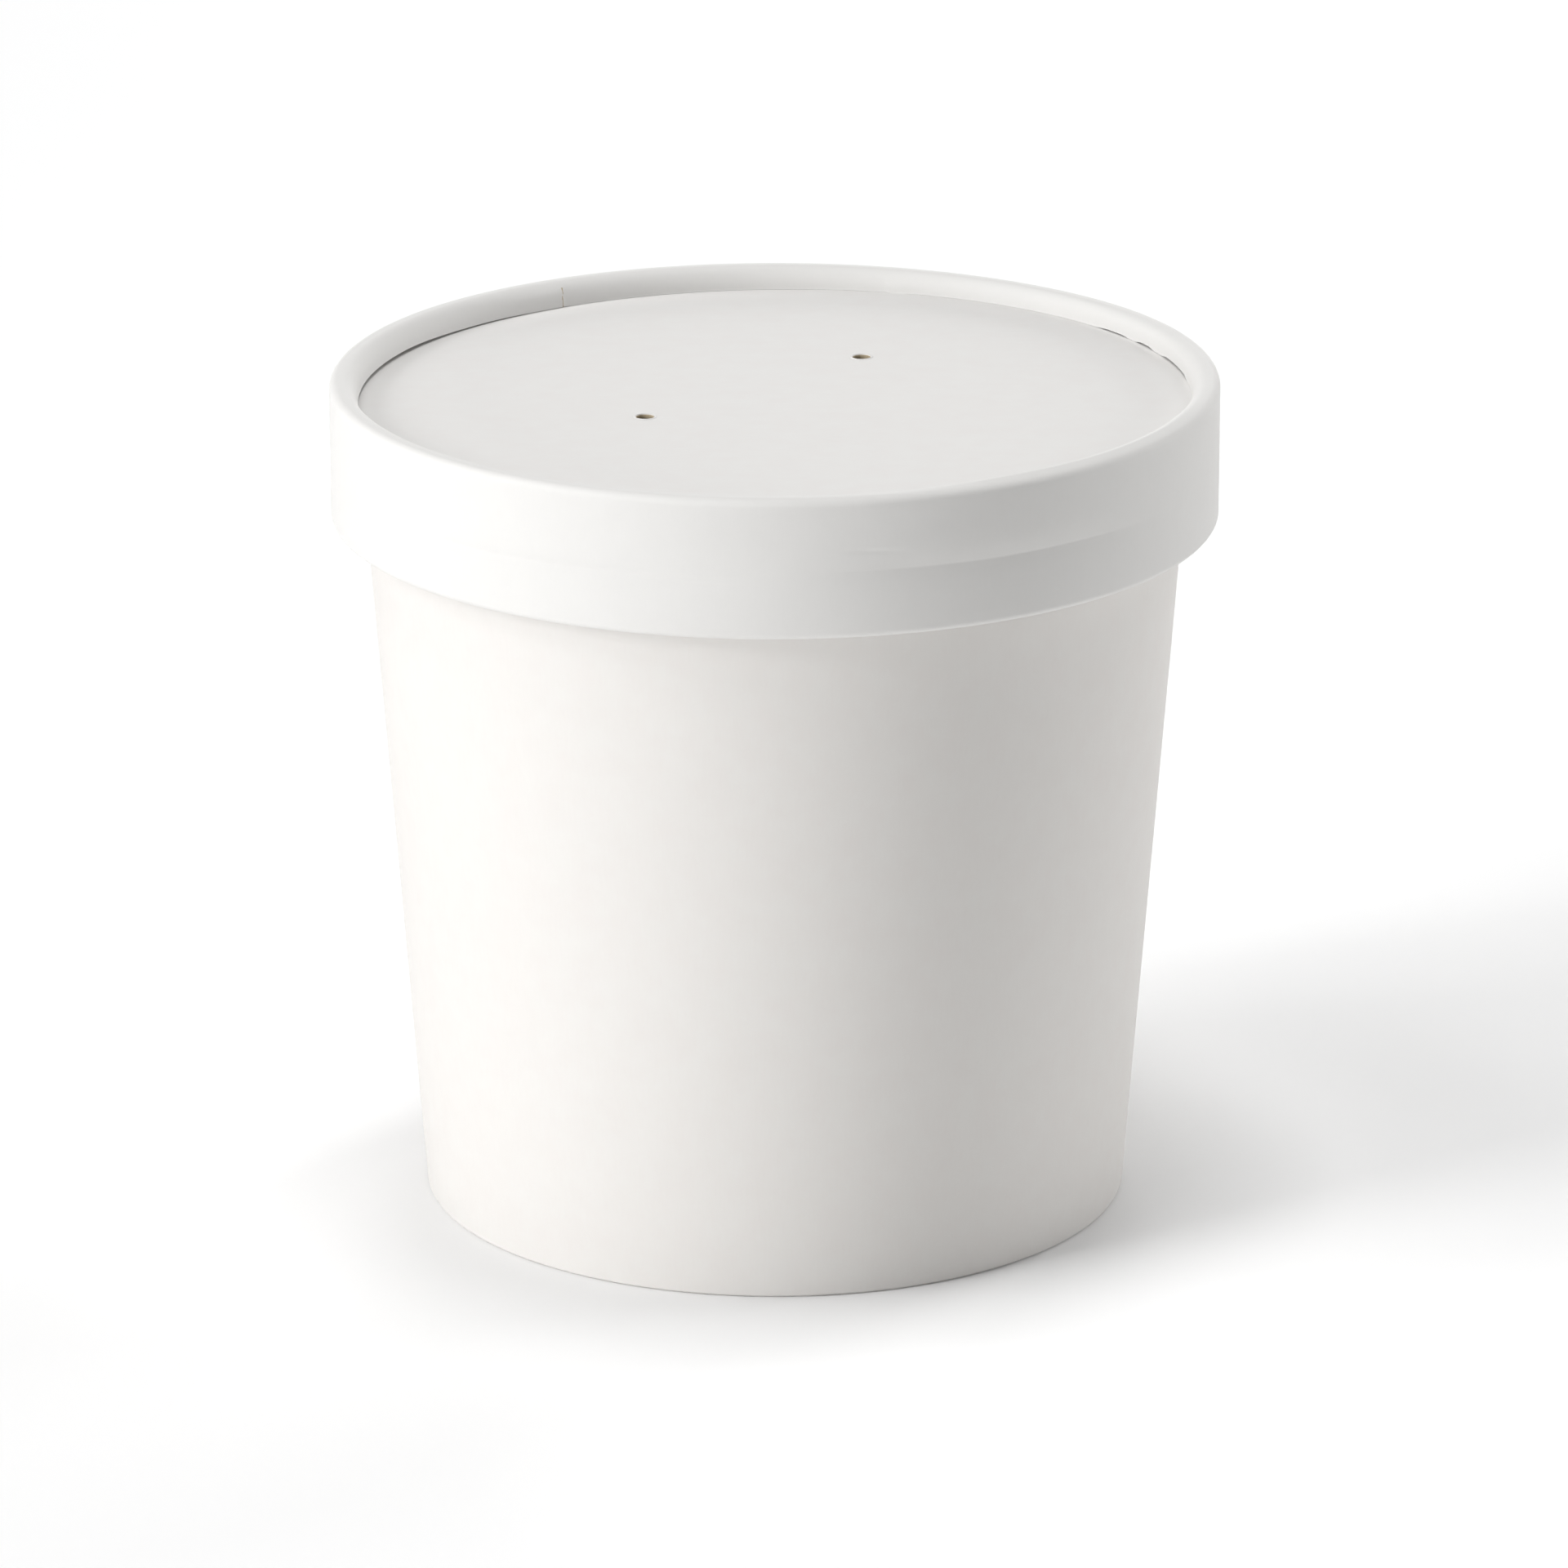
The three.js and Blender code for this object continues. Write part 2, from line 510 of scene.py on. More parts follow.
# Coated cup board: white, a little warm, with a coat so thin that it stays matte.
CUP_BOARD = Board("coated_cup_board", colour="dddbd8", cloud="dcd9d6", roughness=0.72, gloss=0.2)
# Plain board of the base panel, seen only from below.
BASE_BOARD = Board("plain_base_board", colour="dcd9d4", cloud="d9d5cf", roughness=0.72, grain=Grain.LEVEL)
# Lid band board: bleached to a more neutral white, as matte as the cup's.
BAND_BOARD = Board("bleached_band_board", colour="dddcda", cloud="dcdbd9", roughness=0.72, gloss=0.2)
# Lid disc board: uncoated, duller and with a flatter grain.
DISC_BOARD = Board(
    "uncoated_disc_board",
    colour="dfdedc",
    cloud="dedcda",
    grain_depth=0.003,
    roughness=0.8,
    gloss=0.15,
    grain=Grain.LEVEL,
)
# Cut edges of the board, where the unbleached middle ply shows as a thin tan line.
CUT_EDGE = Board(
    "cut_board_edge", colour="c1b399", cloud="b2a287", fibre_length=0.6, fibre_width=0.15, roughness=0.85
)


def dress(piece: bpy.types.Object, boards: tuple[Board, ...], node: str) -> None:
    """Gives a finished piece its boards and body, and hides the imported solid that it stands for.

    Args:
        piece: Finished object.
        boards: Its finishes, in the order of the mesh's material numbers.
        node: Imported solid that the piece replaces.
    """
    for board in boards:
        known = bpy.data.materials.get(board.name)
        piece.data.materials.append(known or board.material())
    make_active(piece)
    bpy.ops.object.shade_smooth_by_angle(angle=math.radians(SMOOTHED_ANGLE))
    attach(piece, BODY)
    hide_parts(node)
    LOG.info("%s: %d faces, stands for %s", piece.name, len(piece.data.polygons), node)


def mark_cut_edge(piece: bpy.types.Object, test: Callable[[float, float, float], bool]) -> None:
    """Gives a piece's second finish to the faces that pass a test on azimuth, radius and height."""
    for polygon in piece.data.polygons:
        if test(*polar(polygon.center)):
            polygon.material_index = 1


@dataclass(frozen=True)
class Wrinkle:
    """Fine line pressed along the skirt.

    Attributes:
        span: Where it runs.
        height: Its height at the middle.
        half_width: Half the width of its groove.
        slope: How much it climbs for each degree.
        middle: Azimuth at which it has the given height.
        strength: Its depth as a share of the deepest one's.
    """

    span: Span
    height: float
    half_width: float
    slope: float = 0.0
    middle: float = 0.0
    strength: float = 1.0

    def share(self, azimuth: float, height: float) -> float:
        """Share of the depth at an azimuth and height."""
        groove = self.height + self.slope * (azimuth - self.middle)
        return self.strength * self.span.share(azimuth) * hill(height, groove, self.half_width)


@dataclass(frozen=True)
class PlyEnd:
    """Cut end of one of the band's plies, on the far side of the bead.

    Attributes:
        across: Distance of the cut to the right of the axis.
        side: 1 where the ply lies right of its cut, -1 where it lies left of it.
        rise: How far the ply stands proud.
        step: Half the width of the step at the cut.
        full: Distance from the cut within which the ply stands proud in full.
        reach: Distance at which it has eased off.
        starts: Depth below the bead's top at which the step starts.
        whole: Depth at which it has its whole height.
        line: Distance from the cut of the mesh's outer edge lines; the inner ones bound the step.
    """

    across: float
    side: float
    rise: float
    step: float
    full: float
    reach: float
    starts: float
    whole: float
    line: float

    def share(self, across: float, depth: float) -> float:
        """Share of the rise at a distance to the right of the axis and a depth below the bead's top."""
        away = self.side * (across - self.across)
        along = smooth(away, -self.step, self.step) * smooth(away, self.reach, self.full)
        return along * smooth(depth, self.starts, self.whole)

    def lines(self, radius: float) -> list[Vector]:
        """Points on the band's far side, in metres, through which the mesh gets its edge lines."""
        offsets = (0.0, -self.step, self.step, -self.line, self.line)
        return [Vector((self.across + offset, radius, 0.0)) * MM for offset in offsets]


@dataclass
class LidBand:
    """Side band of the lid: a hemmed skirt with its crease, curled over at the top into a bead."""

    disc: "LidDisc"
    radius: float = field(default_factory=lambda: reach_of("lid_ring"))
    top: float = field(default_factory=lambda: top_of("lid_ring"))
    edge: float = field(default_factory=lambda: foot_of("lid_ring"))
    thickness: float = 1.0
    rounding: float = 0.01
    sides: int = 600
    # Bead
    shoulder_round: float = 0.95
    curl_round: float = 1.6
    curl_reach: float = 2.98
    curl_slope_end: float = 172.0
    curl_wall_inset: float = 0.02
    curl_wall_stop: float = 0.08
    curl_foot: float = 1.6
    curl_foot_inset: float = 0.06
    curl_margin: float = 0.2
    curl_stretch: float = 1.5
    disc_clearance: float = 0.03
    # Hem
    hem_round: float = 0.7
    hem_width: float = 1.6
    hem_height: float = 5.0
    # Pressed crease round the skirt, lower on the left, and the finer rings of the mesh round it
    crease_height: float = 81.7
    crease_depth: float = 0.38
    crease_start: float = 1.0
    crease_ease: float = 1.7
    crease_ease_right: float = 1.5
    ease_turn: tuple[float, float] = (-8.0, 14.0)
    lean_power: float = 1.7
    ease_power: float = 2.1
    rings_below: float = 1.2
    rings_above: float = 3.3
    right_span: Span = Span(2.0, 68.0, 20.0, 38.0)
    left_span: Span = Span(-62.0, 2.0, 26.0, 24.0)
    left_strength: float = 0.85
    back_span: Span = Span(110.0, -110.0, 30.0, 30.0)
    back_strength: float = 0.4
    drop: float = 0.45
    drop_span: Span = Span(-110.0, 2.0, 30.0, 18.0)
    wander: float = 0.1
    ripple: float = 0.05
    # Short second crease, and fine handling wrinkles with the upright tick that crosses them
    short_crease: Wrinkle = Wrinkle(Span(7.5, 17.5, 3.0, 3.0), 83.9, 0.3, slope=-0.04, middle=12.0)
    short_crease_depth: float = 0.06
    wrinkles: tuple[Wrinkle, ...] = (
        Wrinkle(Span(-14.0, -6.0, 3.0, 3.0), 78.0, 0.22, slope=0.08, middle=-10.0, strength=0.9),
        Wrinkle(Span(-15.0, 0.0, 4.0, 4.0), 80.6, 0.18, strength=0.7),
    )
    wrinkle_depth: float = 0.035
    tick_azimuth: float = -7.9
    tick_half_width: float = 0.5
    tick_foot: float = 80.6
    tick_top: float = 83.4
    tick_fade: float = 1.0
    tick_strength: float = 0.6
    # Bead lifted on the right, and rolled higher inside near right
    right_lift: float = 0.3
    lift_azimuth: float = 105.0
    lift_half_width: float = 32.0
    lift_fade: float = 0.8
    crown_rise: float = 0.25
    crown_span: Span = Span(14.0, 86.0, 20.0, 20.0)
    crown_outset: float = 0.6
    crown_inset: float = 0.4
    crown_depth: float = 0.6
    # Gap between bead and disc, as heights and where they show: long on the left, broken on the right
    gaps: tuple[tuple[float, Span], ...] = (
        (0.2, Span(-131.0, -78.0, 16.0, 6.0)),
        (0.1, Span(-147.0, -78.0, 25.0, 6.0)),
        (0.08, Span(-149.0, -78.0, 1.5, 6.0)),
        (0.25, Span(96.0, 110.3, 3.0, 3.0)),
        (0.22, Span(112.0, 118.2, 2.0, 2.0)),
        (0.15, Span(119.0, 128.0, 3.0, 3.0)),
    )
    # Ends of the outer and the inner ply, and the tan cut edge of the outer one
    outer_ply: PlyEnd = PlyEnd(
        -23.3, side=-1.0, rise=0.09, step=0.03, full=2.0, reach=7.0, starts=0.15, whole=0.8, line=0.09
    )
    inner_ply: PlyEnd = PlyEnd(
        12.4, side=1.0, rise=0.05, step=0.05, full=0.5, reach=4.0, starts=0.5, whole=1.1, line=0.12
    )
    tan_half_width: float = 0.07
    tan_inset: float = 1.0
    tan_above_hem: float = 10.0
    wave_size: float = 24.0
    wave_depth: float = 0.08

    @property
    def curl_centre(self) -> Station:
        """Centre of the curl that rounds the bead down to the disc."""
        return Station(self.radius - self.curl_reach + self.curl_round, self.top - self.curl_round)

    @property
    def shoulder_centre(self) -> Station:
        """Centre of the tight round outer shoulder of the bead."""
        return Station(self.radius - self.shoulder_round, self.top - self.shoulder_round)

    @property
    def foot(self) -> float:
        """Height of the curl's foot before it is drawn down to the disc."""
        return self.top - self.curl_foot

    def profile(self) -> list[Station]:
        """Section of the band, from its hem up the outside, over the bead and down the inside."""
        fold_height = self.edge + self.hem_round
        hem_inside = Station(self.radius - self.hem_width + self.hem_round, fold_height)
        hem_outside = Station(self.radius - self.hem_round, fold_height)
        hem = [
            *arc(hem_inside, self.hem_round, 180.0, 270.0, steps=8),
            *arc(hem_outside, self.hem_round, 270.0, 360.0, steps=10),
        ]
        below_crease = Station(self.radius, self.crease_height - self.rings_below)
        above_crease = Station(self.radius, self.crease_height + self.rings_above)
        shoulder = arc(self.shoulder_centre, self.shoulder_round, 0.0, 90.0, steps=12)
        curl = arc(self.curl_centre, self.curl_round, 90.0, self.curl_slope_end, steps=16)
        end = curl[-1].radius
        foot = Station(end - self.curl_foot_inset, self.foot)
        wall = line(curl[-1], Station(end - self.curl_wall_inset, self.foot + self.curl_wall_stop), steps=3)
        inner = self.radius - self.thickness
        inner_top = Station(inner, self.foot)
        inner_middle = Station(inner, self.crease_height)
        inner_low = Station(inner, self.edge + self.hem_height)
        return [
            *hem,
            *line(hem[-1], below_crease, steps=14),
            *line(below_crease, above_crease, steps=36),
            *line(above_crease, shoulder[0], steps=8),
            *shoulder[1:],
            *curl,
            *wall,
            foot,
            *line(foot, inner_top, steps=3),
            *line(inner_top, inner_middle, steps=3),
            *line(inner_middle, inner_low, steps=2),
            *line(inner_low, hem[0], steps=2),
        ]

    def crease_line(self, azimuth: float) -> float:
        """Height of the crease at an azimuth; it is lower on the left and wanders, as a pressed fold does."""
        drop = self.drop * self.drop_span.share(azimuth)
        wander = self.wander * math.sin(math.radians(3.0 * azimuth + 40.0))
        ripple = self.ripple * math.sin(math.radians(11.0 * azimuth - 25.0))
        return self.crease_height - drop + wander + ripple

    def crease_strength(self, azimuth: float) -> float:
        """How deep the crease is at an azimuth: plain left and right of the middle, faint elsewhere."""
        right = self.right_span.share(azimuth)
        left = self.left_strength * self.left_span.share(azimuth)
        back = self.back_strength * self.back_span.share(azimuth)
        return max(right, left, back)

    def _on_outside(self, radius: float, height: float) -> bool:
        """Tells the outer skin of the skirt from its inner one."""
        return radius > self.radius - self.thickness / 2.0 and height < self.shoulder_centre.height

    def crease_brush(self, azimuth: float, radius: float, height: float) -> float:
        """Covers the crease: the skirt leans in from its hem up to the fold and eases out above it."""
        if not self._on_outside(radius, height):
            return 0.0
        fold = self.crease_line(azimuth)
        start = self.edge + self.crease_start
        reach = self.crease_ease + self.crease_ease_right * smooth(azimuth, *self.ease_turn)
        lean = clamp((height - start) / (fold - start))
        ease = clamp(1.0 - (height - fold) / reach)
        return self.crease_strength(azimuth) * min(lean ** self.lean_power, ease ** self.ease_power)

    def short_crease_brush(self, azimuth: float, radius: float, height: float) -> float:
        """Covers the short second crease above the main one, right of the middle."""
        if not self._on_outside(radius, height):
            return 0.0
        return self.short_crease.share(azimuth, height)

    def wrinkle_brush(self, azimuth: float, radius: float, height: float) -> float:
        """Covers the fine handling wrinkles left of the middle."""
        if not self._on_outside(radius, height):
            return 0.0
        across = hill(azimuth, self.tick_azimuth, self.tick_half_width)
        from_foot = smooth(height, self.tick_foot, self.tick_foot + self.tick_fade)
        to_top = smooth(height, self.tick_top, self.tick_top - self.tick_fade)
        tick = self.tick_strength * across * from_foot * to_top
        return max(tick, *(wrinkle.share(azimuth, height) for wrinkle in self.wrinkles))

    def _on_curl(self, radius: float, height: float) -> bool:
        """Tells the bead's inner face and underside from the rest of the band."""
        inner_skin = self.radius - self.thickness
        return radius < inner_skin + self.rounding and height > self.foot - self.curl_margin

    def gap_height(self, azimuth: float) -> float:
        """Height of the dark gap that the bead leaves above the disc at an azimuth."""
        return sum(height * span.share(azimuth) for height, span in self.gaps)

    def curl_brush(self, azimuth: float, radius: float, height: float) -> float:
        """Covers the bead's inner face, which is drawn down until it meets the tilted disc."""
        if not self._on_curl(radius, height):
            return 0.0
        across = radius * math.sin(math.radians(azimuth))
        goal = self.disc.surface(across) + self.disc_clearance + self.gap_height(azimuth)
        share = (self.foot - goal) / self.curl_stretch
        return share * clamp((self.top - height) / self.curl_foot)

    def lift_brush(self, azimuth: float, radius: float, height: float) -> float:
        """Covers the bead on the right, where the lid stands a little higher."""
        around = hill(turn_between(azimuth, self.lift_azimuth), 0.0, self.lift_half_width)
        return around * smooth(height, self.foot, self.foot + self.lift_fade)

    def crown_brush(self, azimuth: float, radius: float, height: float) -> float:
        """Covers the inner side of the bead near right, where it is rolled a little higher than outside."""
        outside = self.radius - self.crown_outset
        inside = self.curl_centre.radius - self.crown_inset
        upwards = smooth(height, self.foot, self.top - self.crown_depth)
        return self.crown_span.share(azimuth) * smooth(radius, outside, inside) * upwards

    def ply_brush(self, ply: PlyEnd, azimuth: float, radius: float, height: float) -> float:
        """Covers a ply beside its cut end, on the bead's inner face at the far side."""
        if not self._on_curl(radius, height) or abs(azimuth) < 90.0:
            return 0.0
        return ply.share(radius * math.sin(math.radians(azimuth)), self.top - height)

    def skirt_brush(self, azimuth: float, radius: float, height: float) -> float:
        """Covers the whole outer skin of the skirt."""
        return 1.0 if self._on_outside(radius, height) else 0.0

    def shows_cut_edge(self, azimuth: float, radius: float, height: float) -> bool:
        """Tells the faces of the outer ply's cut edge, which shows low on the bead's inner face."""
        low_on_face = radius <= self.curl_centre.radius - self.tan_inset
        if abs(azimuth) < 90.0 or not low_on_face or height < self.edge + self.tan_above_hem:
            return False
        return abs(radius * math.sin(math.radians(azimuth)) - self.outer_ply.across) < self.tan_half_width

    def build(self) -> bpy.types.Object:
        """Models the band and returns its piece."""
        piece = Turner("lid_band", self.profile(), self.sides).weld()
        for ply in (self.outer_ply, self.inner_ply):
            add_cut_lines(piece, ply.lines(self.radius), Vector((1.0, 0.0, 0.0)))
        press(piece, self.crease_brush, -self.crease_depth)
        press(piece, self.short_crease_brush, -self.short_crease_depth)
        press(piece, self.wrinkle_brush, -self.wrinkle_depth)
        for ply in (self.outer_ply, self.inner_ply):
            press(piece, partial(self.ply_brush, ply), ply.rise)
        press(piece, self.lift_brush, self.right_lift, "Z")
        press(piece, self.crown_brush, self.crown_rise, "Z")
        press(piece, self.curl_brush, -self.curl_stretch, "Z")
        unevenness(piece, self.wave_size, self.wave_depth, self.skirt_brush)
        mark_cut_edge(piece, self.shows_cut_edge)
        dress(piece, (BAND_BOARD, CUT_EDGE), "lid_ring")
        return piece


@dataclass
class LidDisc:
    """Flat sunk disc of the lid, with its punched vent holes."""

    radius: float = field(default_factory=lambda: reach_of("lid_disc"))
    top: float = field(default_factory=lambda: top_of("lid_disc"))
    rise: float = 0.1
    tilt: float = 0.0105
    thickness: float = 0.45
    edge_round: float = 0.15
    hub: float = 0.8
    vent_radius: float = 0.95
    vent_flare: float = 0.12
    draw_depth: float = 0.12
    draw_inset: float = 0.03
    cutter_over: float = 0.6
    lip_width: float = 0.3
    lip_height: float = 0.1
    lip_sink: float = 0.02
    cut_margin: float = 0.02
    vents: tuple[tuple[float, float], ...] = ((-13.6, -7.0), (9.3, 15.7))
    sides: int = 256
    rings: int = 22

    @property
    def underside(self) -> float:
        """Height of the disc's underside before it is tilted."""
        return self.top - self.thickness

    def surface(self, across: float) -> float:
        """Height of the seated disc's top at a distance to the right of the axis."""
        return self.top + self.rise + self.tilt * across

    def profile(self) -> list[Station]:
        """Section of the disc, from near its centre below, round the edge and back along the top."""
        low = Station(self.radius - self.edge_round, self.underside + self.edge_round)
        high = Station(self.radius - self.edge_round, self.top - self.edge_round)
        rim = [
            *arc(low, self.edge_round, 270.0, 360.0, steps=3),
            *arc(high, self.edge_round, 0.0, 90.0, steps=3),
        ]
        start = Station(self.hub, self.underside)
        end = Station(self.hub, self.top)
        return [start, *line(start, rim[0], steps=6), *rim[1:], *line(rim[-1], end, self.rings)]

    def add_lip(self, piece: bpy.types.Object, vent: tuple[float, float]) -> None:
        """Raises the burr that the punch leaves round a vent hole."""
        middle = (vent[0] * MM, vent[1] * MM, (self.top - self.lip_sink) * MM)
        bpy.ops.object.select_all(action="DESELECT")
        bpy.ops.mesh.primitive_torus_add(
            location=middle,
            major_radius=(self.vent_radius + self.lip_width / 2.0) * MM,
            minor_radius=self.lip_width / 2.0 * MM,
            major_segments=48,
            minor_segments=12,
        )
        lip = bpy.context.active_object
        bpy.ops.object.transform_apply(location=True, rotation=False, scale=False)
        bpy.ops.object.mode_set(mode="EDIT")
        bpy.ops.mesh.select_all(action="SELECT")
        flatten = self.lip_height / (self.lip_width / 2.0)
        bpy.ops.transform.resize(value=(1.0, 1.0, flatten), center_override=middle)
        bpy.ops.object.mode_set(mode="OBJECT")
        combine(piece, lip, "UNION")

    def punch(self, piece: bpy.types.Object, vent: tuple[float, float]) -> None:
        """Cuts a vent hole whose upper edge is drawn in by the punch."""
        flare = self.vent_radius + self.vent_flare
        cutter_profile = [
            Station(self.vent_radius, self.underside - self.cutter_over),
            Station(self.vent_radius, self.top - self.draw_depth),
            Station(self.vent_radius + self.draw_inset, self.top - self.draw_inset),
            Station(flare, self.top + self.lip_height),
            Station(flare, self.top + self.cutter_over),
        ]
        cutter = Turner("vent_cutter", cutter_profile, sides=48).close_on_axis()
        cutter.data.transform(Matrix.Translation((vent[0] * MM, vent[1] * MM, 0.0)))
        combine(piece, cutter, "DIFFERENCE")

    def seat(self, piece: bpy.types.Object) -> None:
        """Tilts the disc as it was pressed into the band: lower on the left, where the bead stands off it."""
        make_active(piece)
        bpy.ops.object.mode_set(mode="EDIT")
        bpy.ops.mesh.select_all(action="SELECT")
        middle = (0.0, 0.0, self.top * MM)
        bpy.ops.transform.rotate(
            value=self.tilt, orient_axis="Y", orient_type="GLOBAL", center_override=middle
        )
        bpy.ops.transform.translate(value=(0.0, 0.0, self.rise * MM))
        bpy.ops.object.mode_set(mode="OBJECT")

    def shows_cut_edge(self, azimuth: float, radius: float, height: float) -> bool:
        """Tells the walls of the vent holes."""
        x = radius * math.sin(math.radians(azimuth))
        y = -radius * math.cos(math.radians(azimuth))
        near = min(math.hypot(x - vent[0], y - vent[1]) for vent in self.vents)
        return near < self.vent_radius + self.cut_margin and height < self.surface(x) - self.draw_inset

    def build(self) -> bpy.types.Object:
        """Models the disc and returns its piece."""
        piece = Turner("lid_disc_board", self.profile(), self.sides).close_on_axis()
        for vent in self.vents:
            self.add_lip(piece, vent)
            self.punch(piece, vent)
        self.seat(piece)
        mark_cut_edge(piece, self.shows_cut_edge)
        dress(piece, (DISC_BOARD, CUT_EDGE), "lid_disc")
        return piece


@dataclass
class Cup:
    """Cup body: wrapped conical wall with its lap seam, folded foot and rolled rim, round a hidden core."""

    height: float = field(default_factory=lambda: top_of("cup"))
    rim_reach: float = field(default_factory=lambda: reach_of("cup"))
    panel_height: float = field(default_factory=lambda: foot_of("cup_base"))
    panel_top: float = field(default_factory=lambda: top_of("cup_base"))
    base_radius: float = 37.7
    wall_lean: float = 0.0744
    rim_roll: float = 1.4
    board: float = 0.42
    hem_height: float = 5.9
    hem_corner: float = 0.1
    hem_gap: float = 0.08
    foot_thickness: float = 1.3
    foot_round: float = 0.4
    panel_clearance: float = 0.3
    hub: float = 1.0
    seam_azimuth: float = 190.0
    seam_width: float = 8.0
    seam_relief: float = 0.35
    seam_ease: float = 3.0
    seam_step: float = 0.02
    seam_foot: tuple[float, float] = (0.0, 0.5)
    cut_line_turn: float = 0.08
    tan_turn: float = 0.12
    skin: float = 0.3
    rounding: float = 0.1
    wave_size: float = 30.0
    wave_depth: float = 0.1
    wave_foot: tuple[float, float] = (1.0, 8.0)
    vents: tuple[tuple[float, float], ...] = LidDisc.vents
    pocket_radius: float = 1.6
    pocket_depth: float = 4.0
    sides: int = 480

    def wall(self, height: float) -> float:
        """Outer radius of the wall at a height."""
        return self.base_radius + self.wall_lean * height

    @property
    def rim_foot(self) -> float:
        """Height of the rolled rim's underside."""
        return self.height - 2.0 * self.rim_roll

    @property
    def seam_half(self) -> float:
        """Half the angle that the lap seam takes."""
        return math.degrees(self.seam_width / 2.0 / self.wall(self.height / 2.0))

    def profile(self) -> list[Station]:
        """Section of the cup, from the recess in its foot, up the wall, round the rim and over the core."""
        ceiling = self.panel_top + self.panel_clearance
        ply = Station(self.wall(self.hem_height) - 2.0 * self.board, ceiling)
        hem_inside = self.wall(self.hem_height) - self.foot_thickness
        hem_corner = Station(hem_inside, self.hem_height - self.hem_corner)
        inner = Station(self.wall(0.0) - self.foot_thickness + self.foot_round, self.foot_round)
        outer = Station(self.base_radius - self.foot_round, self.foot_round)
        fold_in = arc(inner, self.foot_round, 180.0, 270.0, steps=5)
        fold_out = arc(outer, self.foot_round, 270.0, 360.0, steps=6)
        roll_centre = Station(self.rim_reach - self.rim_roll, self.height - self.rim_roll)
        roll = arc(roll_centre, self.rim_roll, -90.0, 90.0, steps=12)
        return [
            Station(self.hub, ceiling),
            ply,
            *line(ply, Station(ply.radius, self.hem_height + self.hem_gap), steps=2),
            Station(hem_inside + self.hem_corner, self.hem_height),
            hem_corner,
            *line(hem_corner, fold_in[0], steps=5),
            *fold_in[1:],
            *fold_out,
            *line(fold_out[-1], Station(self.wall(self.rim_foot), self.rim_foot), steps=40),
            *roll,
            *line(roll[-1], Station(self.hub, self.height), steps=5),
        ]

    def seam_brush(self, azimuth: float, radius: float, height: float) -> float:
        """Covers the lap of the wall's two ends: sharp at the outer ply's cut edge, eased at the other."""
        if radius < self.wall(height) - self.skin or height > self.rim_foot:
            return 0.0
        away = turn_between(azimuth, self.seam_azimuth)
        sharp = smooth(away, -self.seam_half - self.seam_step, -self.seam_half + self.seam_step)
        eased = smooth(away, self.seam_half, self.seam_half - self.seam_ease)
        return sharp * eased * smooth(height, *self.seam_foot)

    def wave_brush(self, azimuth: float, radius: float, height: float) -> float:
        """Covers the wall's outer skin, and leaves the foot that the cup stands on flat."""
        return smooth(height, *self.wave_foot) if radius > self.wall(height) - 2.0 * self.skin else 0.0

    def shows_cut_edge(self, azimuth: float, radius: float, height: float) -> bool:
        """Tells the faces of the outer ply's cut edge along the lap seam."""
        away = turn_between(azimuth, self.seam_azimuth)
        on_wall = radius > self.wall(height) - self.rounding and self.foot_round < height < self.rim_foot
        return on_wall and abs(away + self.seam_half) < self.tan_turn

    def open_pockets(self, piece: bpy.types.Object) -> None:
        """Cuts the clear spaces below the vent holes into the top of the core."""
        for vent in self.vents:
            bpy.ops.object.select_all(action="DESELECT")
            bpy.ops.mesh.primitive_cylinder_add(
                vertices=32,
                radius=self.pocket_radius * MM,
                depth=2.0 * self.pocket_depth * MM,
                location=(vent[0] * MM, vent[1] * MM, self.height * MM),
            )
            combine(piece, bpy.context.active_object, "DIFFERENCE")

    def build(self) -> bpy.types.Object:
        """Models the cup and returns its piece."""
        piece = Turner("cup_board", self.profile(), self.sides).close_on_axis()
        cut = self.seam_azimuth - self.seam_half
        turns = [math.radians(cut + offset) for offset in (-self.cut_line_turn, self.cut_line_turn)]
        places = [Vector((math.sin(turn), -math.cos(turn), 0.0)) * self.base_radius * MM for turn in turns]
        across = Vector((math.cos(turns[0]), math.sin(turns[0]), 0.0))
        add_cut_lines(piece, places, across)
        press(piece, self.seam_brush, self.seam_relief)
        unevenness(piece, self.wave_size, self.wave_depth, self.wave_brush)
        self.open_pockets(piece)
        mark_cut_edge(piece, self.shows_cut_edge)
        dress(piece, (CUP_BOARD, CUT_EDGE), "cup")
        return piece


@dataclass
class BasePanel:
    """Round panel that closes the foot, its edge turned down behind the hem."""

    cup: Cup
    edge_round: float = 0.8
    wall_gap: float = 0.05
    hem_gap: float = 0.12
    sides: int = 256

    def profile(self) -> list[Station]:
        """Section of the panel, from near its centre below, down its flange and back over the top."""
        low = self.cup.panel_height
        board = self.cup.board
        flange = self.cup.wall(self.cup.hem_height) - 2.0 * board - self.wall_gap
        inside = flange - board
        centre = Station(inside - self.edge_round, low - self.edge_round)
        corner = arc(centre, self.edge_round, 90.0, 0.0, steps=6)
        outside = arc(centre, self.edge_round + board, 0.0, 90.0, steps=6)
        foot = self.cup.hem_height + self.hem_gap
        start = Station(self.cup.hub, low)
        return [
            start,
            *line(start, corner[0], steps=14),
            *corner[1:],
            Station(inside, foot),
            Station(flange, foot),
            *outside,
            *line(outside[-1], Station(self.cup.hub, low + board), steps=6),
        ]

    def build(self) -> bpy.types.Object:
        """Models the panel and returns its piece."""
        piece = Turner("base_panel", self.profile(), self.sides).close_on_axis()
        dress(piece, (BASE_BOARD,), "cup_base")
        return piece


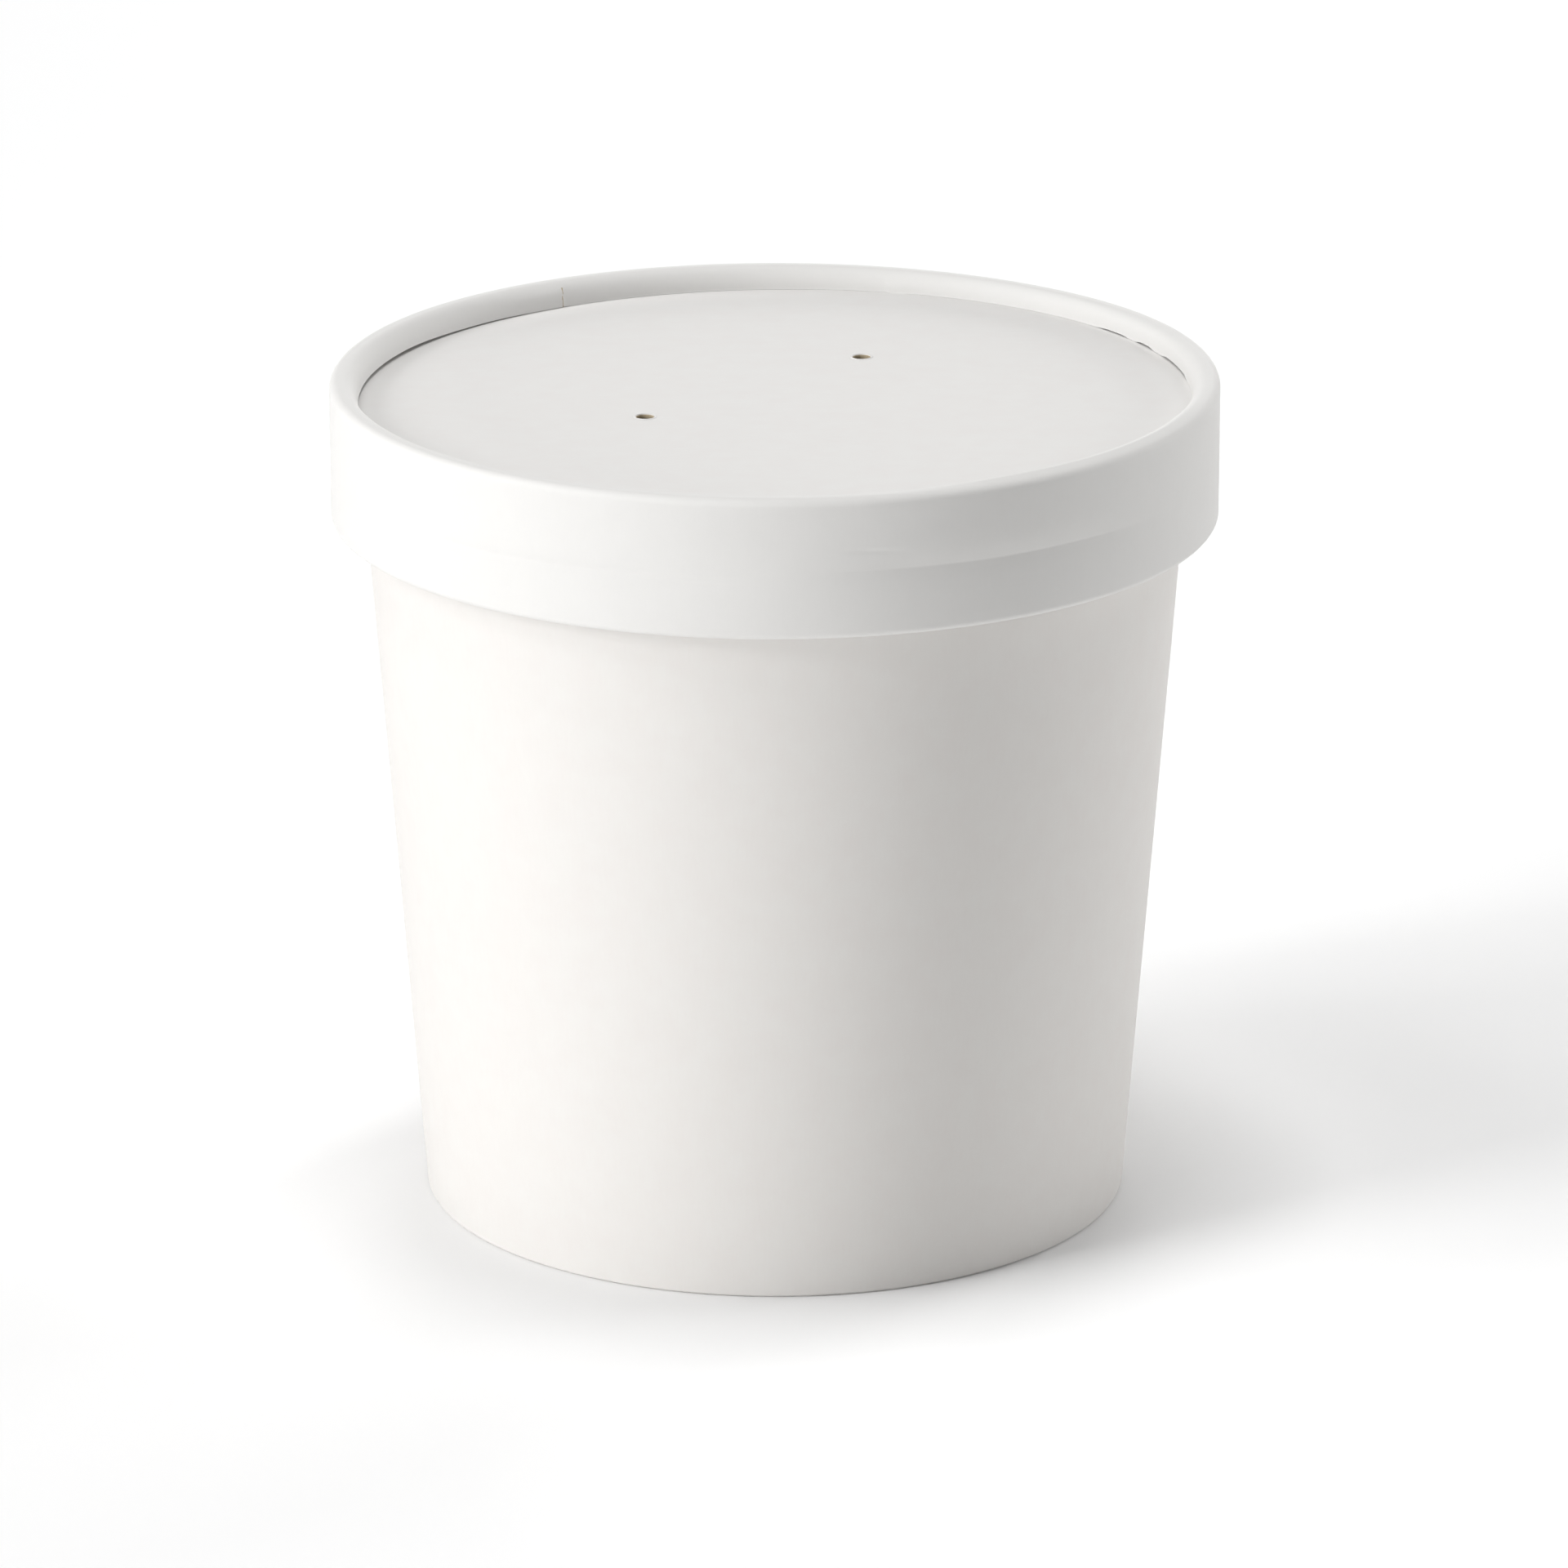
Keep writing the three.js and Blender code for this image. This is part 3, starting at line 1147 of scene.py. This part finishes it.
@dataclass(frozen=True)
class Softbox:
    """One square soft light, aimed at the container."""

    name: str
    azimuth: float
    elevation: float
    power: float
    size: float = 400.0
    distance: float = 1500.0

    def place(self) -> None:
        """Hangs the light in the studio."""
        data = bpy.data.lights.new(self.name, "AREA")
        data.shape = "SQUARE"
        data.size = self.size * MM
        data.energy = self.power
        light = bpy.data.objects.new(self.name, data)
        bpy.context.scene.collection.objects.link(light)
        turn = math.radians(self.azimuth)
        rise = math.radians(self.elevation)
        aim = Vector((math.sin(turn) * math.cos(rise), -math.cos(turn) * math.cos(rise), math.sin(rise)))
        light.location = Vector((0.0, 0.0, CAD_HIGH.z / 2.0)) + aim * (self.distance * MM)
        light.rotation_euler = (-aim).to_track_quat("-Z", "Y").to_euler()


@dataclass
class Studio:
    """White floor, soft lights and the camera at the photograph's place."""

    camera_right: float = 0.974
    camera_back: float = 900.0
    camera_height: float = 339.73
    camera_pitch: float = 18.180
    lens: float = 203.006
    sensor: float = 36.0
    floor_width: float = 6000.0
    floor_drop: float = 0.02
    lights: tuple[Softbox, ...] = (
        Softbox("left_low", -60.0, 4.0, 8.62),
        Softbox("left", -60.0, 24.0, 6.73),
        Softbox("left_high", -75.0, 38.0, 4.68),
        Softbox("left_steep", -90.0, 62.0, 2.00),
        Softbox("front_left_steep", -45.0, 62.0, 1.34),
        Softbox("front", 0.0, 12.0, 2.94),
        Softbox("top", 0.0, 90.0, 8.30),
        Softbox("right", 105.0, 12.0, 5.46),
        Softbox("right_rear", 120.0, 12.0, 3.15),
        Softbox("right_rear_high", 135.0, 38.0, 4.17),
        Softbox("rear_right", 165.0, 12.0, 3.50),
        Softbox("rear", 180.0, 12.0, 3.92),
    )

    def place_camera(self) -> None:
        """Sets the camera at the photograph's viewing place and angle."""
        data = bpy.data.cameras.new("camera")
        data.lens = self.lens
        data.sensor_width = self.sensor
        camera = bpy.data.objects.new("camera", data)
        bpy.context.scene.collection.objects.link(camera)
        camera.location = (self.camera_right * MM, -self.camera_back * MM, self.camera_height * MM)
        camera.rotation_euler = (math.radians(90.0 - self.camera_pitch), 0.0, 0.0)
        bpy.context.scene.camera = camera

    def lay_floor(self) -> None:
        """Lays the plain white floor under the container."""
        bpy.ops.object.select_all(action="DESELECT")
        place = (0.0, 0.0, -self.floor_drop * MM)
        bpy.ops.mesh.primitive_plane_add(size=self.floor_width * MM, location=place)
        floor = bpy.context.active_object
        floor.name = "studio_floor"
        paint = bpy.data.materials.new("studio_floor_paint")
        paint.use_nodes = True
        shader = paint.node_tree.nodes["Principled BSDF"]
        shader.inputs["Base Color"].default_value = linear("fbfbfb")
        shader.inputs["Roughness"].default_value = 0.9
        shader.inputs["Specular IOR Level"].default_value = 0.1
        floor.data.materials.append(paint)

    def light_room(self) -> None:
        """Hangs the lights. The surroundings give none, so all light is theirs or thrown up by the floor."""
        for light in self.lights:
            light.place()
        world = bpy.data.worlds.new("studio")
        world.use_nodes = True
        world.node_tree.nodes["Background"].inputs["Strength"].default_value = 0.0
        scene = bpy.context.scene
        scene.world = world
        scene.view_settings.view_transform = "Standard"

    def build(self) -> None:
        """Sets up the whole studio."""
        self.place_camera()
        self.lay_floor()
        self.light_room()


def main() -> None:
    """Sets up the studio and builds the container in it, piece by piece."""
    logging.basicConfig(level=logging.INFO, format="%(name)s: %(message)s")
    Studio().build()
    cup = Cup()
    disc = LidDisc()
    for part in (cup, BasePanel(cup), LidBand(disc), disc):
        part.build()


if __name__ == "__main__":
    main()
